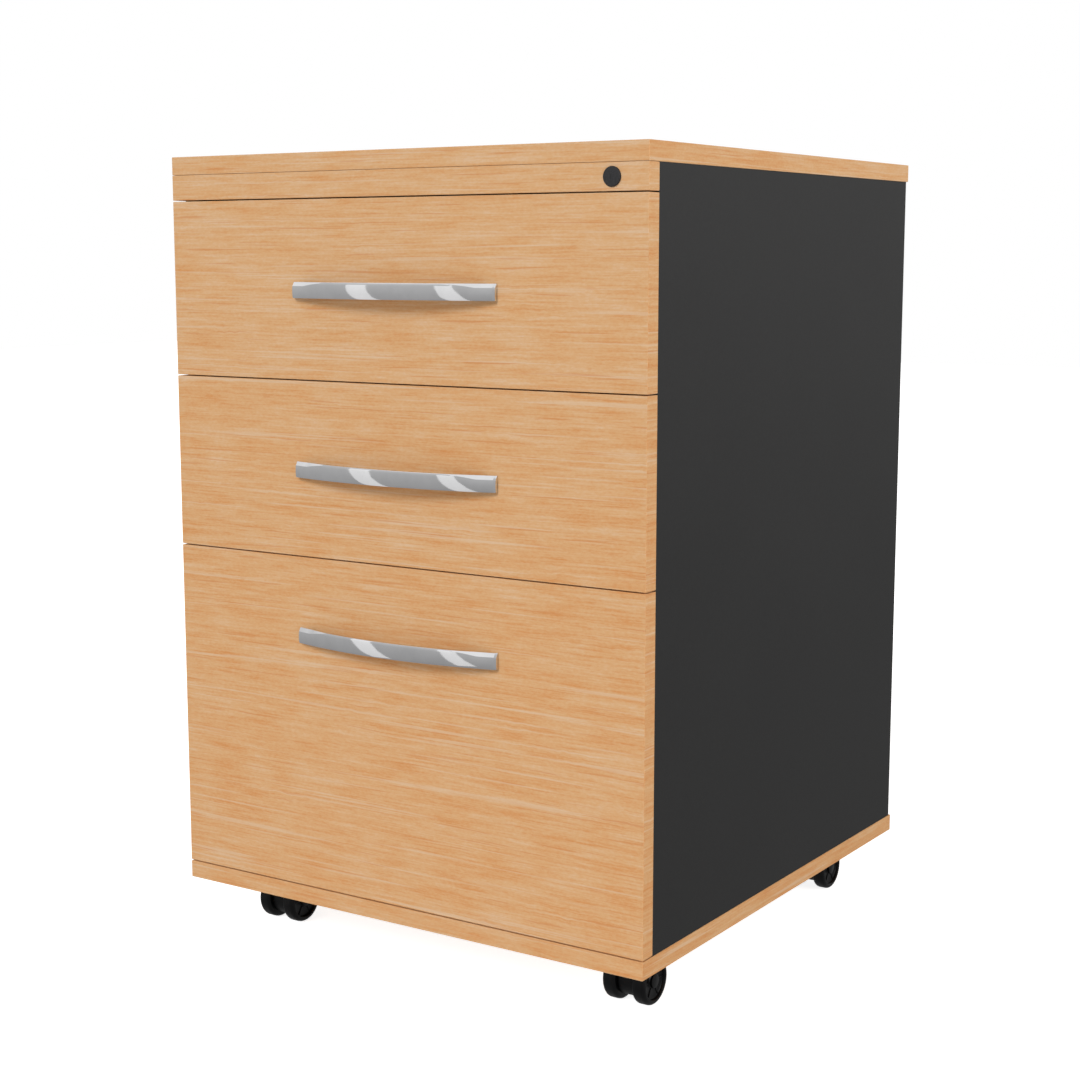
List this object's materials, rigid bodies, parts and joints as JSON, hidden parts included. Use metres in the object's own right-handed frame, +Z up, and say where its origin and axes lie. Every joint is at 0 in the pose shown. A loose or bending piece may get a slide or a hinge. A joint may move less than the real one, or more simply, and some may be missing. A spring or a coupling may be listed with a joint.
{
  "type": "rolling pedestal cabinet",
  "caption": "Rolling desk-side pedestal with box drawers over a file drawer, beech fronts, charcoal sides, bow handles, a lock and twin-wheel casters.",
  "frame": {"origin": "middle of the whole cabinet's plan, handles included, on the floor under the casters", "axes": "+Z up, fronts and handles face -Y, the lock is towards +X"},
  "size_m": [0.465, 0.493, 0.68],
  "materials": {
    "beech_board": "beech-pattern melamine, satin, with beech edge band",
    "charcoal_board": "charcoal melamine, matt",
    "drawer_board": "pale grey foil-wrapped board, satin",
    "base_panel": "pale grey faced hardboard",
    "handle_metal": "satin-polished cast handle",
    "zinc_steel": "zinc-plated steel",
    "lock_metal": "black-coated lock",
    "lock_bar_steel": "zinc-plated flat bar",
    "catch_plastic": "black moulded plastic",
    "caster_plastic": "black moulded nylon",
    "caster_wheel": "black moulded nylon wheel"
  },
  "bodies": {
    "cabinet": {"top_board": "beech_board", "bottom_board": "beech_board", "left_side_panel": "charcoal_board", "right_side_panel": "charcoal_board", "back_panel": "charcoal_board", "lock_rail": "beech_board", "cam_fittings": "zinc_steel", "left_cabinet_slides": "zinc_steel", "right_cabinet_slides": "zinc_steel", "lock_housing": "lock_metal", "lock_bar_guides": "zinc_steel", "caster_plates": "zinc_steel", "caster_screws": "zinc_steel"},
    "drawer_1": {"drawer_1_front": "beech_board", "drawer_1_handle": "handle_metal", "drawer_1_handle_screws": "zinc_steel", "drawer_1_left_wall": "drawer_board", "drawer_1_right_wall": "drawer_board", "drawer_1_back_wall": "drawer_board", "drawer_1_base": "base_panel", "drawer_1_slides": "zinc_steel", "drawer_1_catch": "catch_plastic"},
    "drawer_2": {"drawer_2_front": "beech_board", "drawer_2_handle": "handle_metal", "drawer_2_handle_screws": "zinc_steel", "drawer_2_left_wall": "drawer_board", "drawer_2_right_wall": "drawer_board", "drawer_2_back_wall": "drawer_board", "drawer_2_base": "base_panel", "drawer_2_slides": "zinc_steel", "drawer_2_catch": "catch_plastic"},
    "drawer_3": {"drawer_3_front": "beech_board", "drawer_3_handle": "handle_metal", "drawer_3_handle_screws": "zinc_steel", "drawer_3_left_wall": "drawer_board", "drawer_3_right_wall": "drawer_board", "drawer_3_back_wall": "drawer_board", "drawer_3_base": "base_panel", "drawer_3_slides": "zinc_steel", "drawer_3_catch": "catch_plastic", "file_rails": "zinc_steel"},
    "file_middle_slides": {"file_middle_slides": "zinc_steel"},
    "lock_plug": {"lock_plug": "lock_metal"},
    "lock_bar": {"lock_bar": "lock_bar_steel"},
    "caster_front_left": {"caster_front_left_housing": "caster_plastic", "caster_front_left_axle": "zinc_steel"},
    "caster_front_left_left_wheel": {"caster_front_left_left_wheel": "caster_wheel"},
    "caster_front_left_right_wheel": {"caster_front_left_right_wheel": "caster_wheel"},
    "caster_front_right": {"caster_front_right_housing": "caster_plastic", "caster_front_right_axle": "zinc_steel"},
    "caster_front_right_left_wheel": {"caster_front_right_left_wheel": "caster_wheel"},
    "caster_front_right_right_wheel": {"caster_front_right_right_wheel": "caster_wheel"},
    "caster_rear_left": {"caster_rear_left_housing": "caster_plastic", "caster_rear_left_axle": "zinc_steel"},
    "caster_rear_left_left_wheel": {"caster_rear_left_left_wheel": "caster_wheel"},
    "caster_rear_left_right_wheel": {"caster_rear_left_right_wheel": "caster_wheel"},
    "caster_rear_right": {"caster_rear_right_housing": "caster_plastic", "caster_rear_right_axle": "zinc_steel"},
    "caster_rear_right_left_wheel": {"caster_rear_right_left_wheel": "caster_wheel"},
    "caster_rear_right_right_wheel": {"caster_rear_right_right_wheel": "caster_wheel"}
  },
  "joints": [
    {"name": "drawer_1_slide", "type": "slide", "parent": "cabinet", "child": "drawer_1", "axis": [0, -1, 0], "range_m": [0, 0.3]},
    {"name": "drawer_2_slide", "type": "slide", "parent": "cabinet", "child": "drawer_2", "axis": [0, -1, 0], "range_m": [0, 0.3]},
    {"name": "drawer_3_slide", "type": "slide", "parent": "cabinet", "child": "drawer_3", "axis": [0, -1, 0], "range_m": [0, 0.38]},
    {"name": "file_middle_slide", "type": "slide", "parent": "cabinet", "child": "file_middle_slides", "axis": [0, -1, 0], "range_m": [0, 0.19]},
    {"name": "lock_turn", "type": "hinge", "parent": "cabinet", "child": "lock_plug", "pos_m": [0.2015, -0.2285, 0.6544], "axis": [0, -1, 0], "range_deg": [0, 90]},
    {"name": "lock_bar_lift", "type": "slide", "parent": "cabinet", "child": "lock_bar", "axis": [0, 0, 1], "range_m": [0, 0.009]},
    {"name": "caster_front_left_swivel", "type": "hinge", "parent": "cabinet", "child": "caster_front_left", "pos_m": [-0.1825, -0.1645, 0.048], "axis": [0, 0, 1], "continuous": true},
    {"name": "caster_front_left_left_wheel_spin", "type": "hinge", "parent": "caster_front_left", "child": "caster_front_left_left_wheel", "pos_m": [-0.196, -0.1545, 0.02], "axis": [1, 0, 0], "continuous": true},
    {"name": "caster_front_left_right_wheel_spin", "type": "hinge", "parent": "caster_front_left", "child": "caster_front_left_right_wheel", "pos_m": [-0.169, -0.1545, 0.02], "axis": [1, 0, 0], "continuous": true},
    {"name": "caster_front_right_swivel", "type": "hinge", "parent": "cabinet", "child": "caster_front_right", "pos_m": [0.1825, -0.1645, 0.048], "axis": [0, 0, 1], "continuous": true},
    {"name": "caster_front_right_left_wheel_spin", "type": "hinge", "parent": "caster_front_right", "child": "caster_front_right_left_wheel", "pos_m": [0.169, -0.1545, 0.02], "axis": [1, 0, 0], "continuous": true},
    {"name": "caster_front_right_right_wheel_spin", "type": "hinge", "parent": "caster_front_right", "child": "caster_front_right_right_wheel", "pos_m": [0.196, -0.1545, 0.02], "axis": [1, 0, 0], "continuous": true},
    {"name": "caster_rear_left_swivel", "type": "hinge", "parent": "cabinet", "child": "caster_rear_left", "pos_m": [-0.1775, 0.1825, 0.048], "axis": [0, 0, 1], "continuous": true},
    {"name": "caster_rear_left_left_wheel_spin", "type": "hinge", "parent": "caster_rear_left", "child": "caster_rear_left_left_wheel", "pos_m": [-0.191, 0.1925, 0.02], "axis": [1, 0, 0], "continuous": true},
    {"name": "caster_rear_left_right_wheel_spin", "type": "hinge", "parent": "caster_rear_left", "child": "caster_rear_left_right_wheel", "pos_m": [-0.164, 0.1925, 0.02], "axis": [1, 0, 0], "continuous": true},
    {"name": "caster_rear_right_swivel", "type": "hinge", "parent": "cabinet", "child": "caster_rear_right", "pos_m": [0.1775, 0.1825, 0.048], "axis": [0, 0, 1], "continuous": true},
    {"name": "caster_rear_right_left_wheel_spin", "type": "hinge", "parent": "caster_rear_right", "child": "caster_rear_right_left_wheel", "pos_m": [0.164, 0.1925, 0.02], "axis": [1, 0, 0], "continuous": true},
    {"name": "caster_rear_right_right_wheel_spin", "type": "hinge", "parent": "caster_rear_right", "child": "caster_rear_right_right_wheel", "pos_m": [0.191, 0.1925, 0.02], "axis": [1, 0, 0], "continuous": true}
  ],
  "couplings": [
    {"joint": "file_middle_slide", "follows": "drawer_3_slide", "ratio": 0.5},
    {"joint": "lock_turn", "follows": "lock_bar_lift", "rad_per_m": 174.53}
  ]
}
